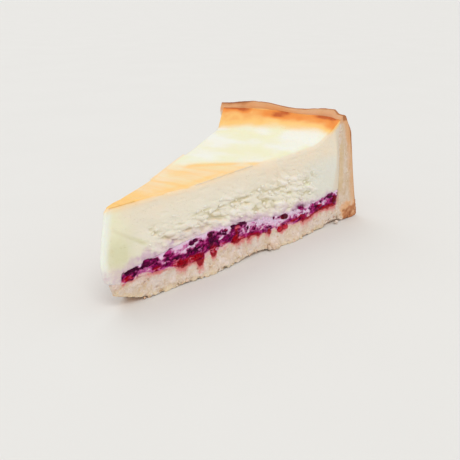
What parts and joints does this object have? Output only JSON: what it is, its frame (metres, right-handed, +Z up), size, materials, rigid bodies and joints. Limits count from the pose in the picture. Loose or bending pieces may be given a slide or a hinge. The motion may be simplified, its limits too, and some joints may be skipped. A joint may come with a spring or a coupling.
{
  "type": "cranberry quark cheesecake slice",
  "caption": "Wedge of baked quark cheesecake with a cranberry layer on a pastry base and an upright browned pastry crust.",
  "frame": {"origin": "centre of the slice's bounding box, on the surface that it stands on", "axes": "+X from the tip to the crust along the middle of the slice, +Z up, -Y the side of the cut face that the picture shows"},
  "size_m": [0.1349, 0.0641, 0.0483],
  "materials": {
    "pastry": "dry, crumbly shortcrust",
    "cranberries": "wet, broken fruit",
    "quark": "soft satin, porous where cut, browned skin on top"
  },
  "bodies": {
    "root": {"pastry_case": "pastry", "cranberry_layer": "cranberries", "quark_filling": "quark"}
  },
  "joints": []
}
